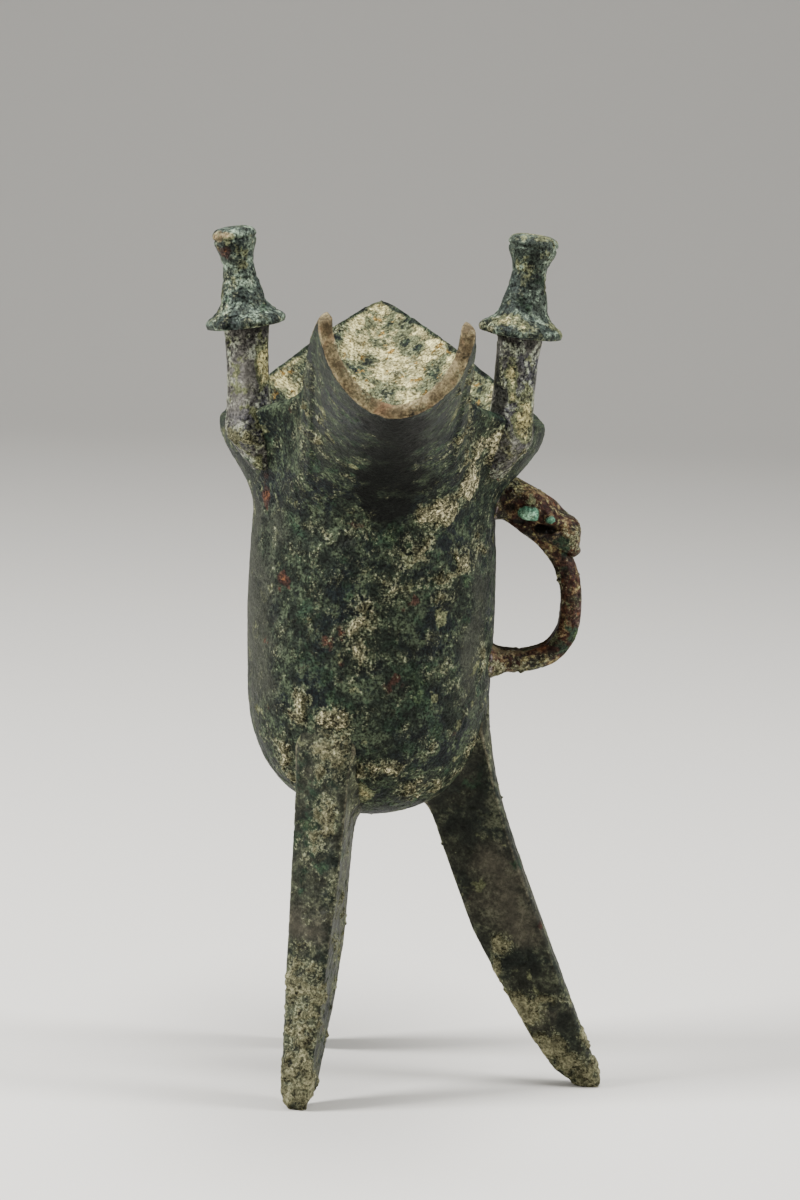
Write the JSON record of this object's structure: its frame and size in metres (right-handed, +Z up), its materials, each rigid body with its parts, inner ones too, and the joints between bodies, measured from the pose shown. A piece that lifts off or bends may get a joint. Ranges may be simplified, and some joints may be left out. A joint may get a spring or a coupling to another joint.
{
  "type": "bronze jue wine vessel",
  "caption": "Bronze jue wine vessel: a round-bottomed cup on blade legs, with a pouring spout, a pointed tail, capped posts on the rim and a beast-head handle.",
  "frame": {"origin": "the middle of the vessel's box, on the surface that its feet stand on", "axes": "+Z up, -Y along the pouring spout, +Y along the pointed tail, +X to the handle"},
  "size_m": [0.0952, 0.162, 0.1975],
  "materials": {
    "cup_patina": "old bronze with dark green and grey patina, malachite specks and tan burial crust",
    "spout_patina": "old bronze, dark blue-grey patina with a smooth pinkish tan lip",
    "tail_patina": "old bronze, inside thickly coated with cream and pale green corrosion",
    "post_patina": "old bronze, grey-lilac patina with pale green flakes",
    "cap_patina": "old bronze, grey-green patina with rust-brown and maroon patches",
    "handle_patina": "old bronze, reddish brown patina with pale yellow-green spots",
    "leg_patina": "old bronze, smooth dark grey patina with thick tan-grey crust near the feet"
  },
  "bodies": {
    "root": {"cup_body": "cup_patina", "spout": "spout_patina", "tail": "tail_patina", "post_left": "post_patina", "post_right": "post_patina", "cap_left": "cap_patina", "cap_right": "cap_patina", "handle_loop": "handle_patina", "handle_head": "handle_patina", "leg_handle": "leg_patina", "leg_front": "leg_patina", "leg_back": "leg_patina"}
  },
  "joints": []
}
